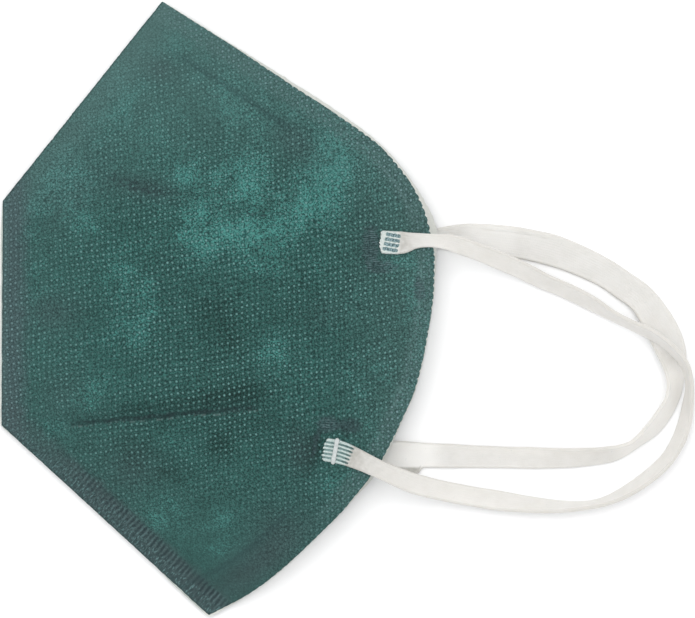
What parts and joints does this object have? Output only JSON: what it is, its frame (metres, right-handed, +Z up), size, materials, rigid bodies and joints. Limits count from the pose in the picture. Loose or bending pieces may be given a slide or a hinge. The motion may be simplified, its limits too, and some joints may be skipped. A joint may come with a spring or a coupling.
{
  "type": "disposable respirator",
  "caption": "Flat-fold disposable respirator of dark cloth with a pale lining and flat elastic ear loops, folded in half and lying on its side.",
  "frame": {"origin": "middle of the mask's underside, on the surface it lies on", "axes": "+X from the front edge towards the ears, +Y from the chin to the nose, +Z up from the surface"},
  "size_m": [0.1767, 0.1574, 0.0138],
  "materials": {
    "cover_cloth": "matte spunbond with a lattice of bond dots",
    "lining_cloth": "matte white fibre",
    "elastic": "matte off-white knit"
  },
  "bodies": {
    "root": {"cover_near": "cover_cloth", "cover_far": "cover_cloth", "lining_near": "lining_cloth", "lining_far": "lining_cloth", "ear_loop_near": "elastic", "ear_loop_far": "elastic"}
  },
  "joints": []
}
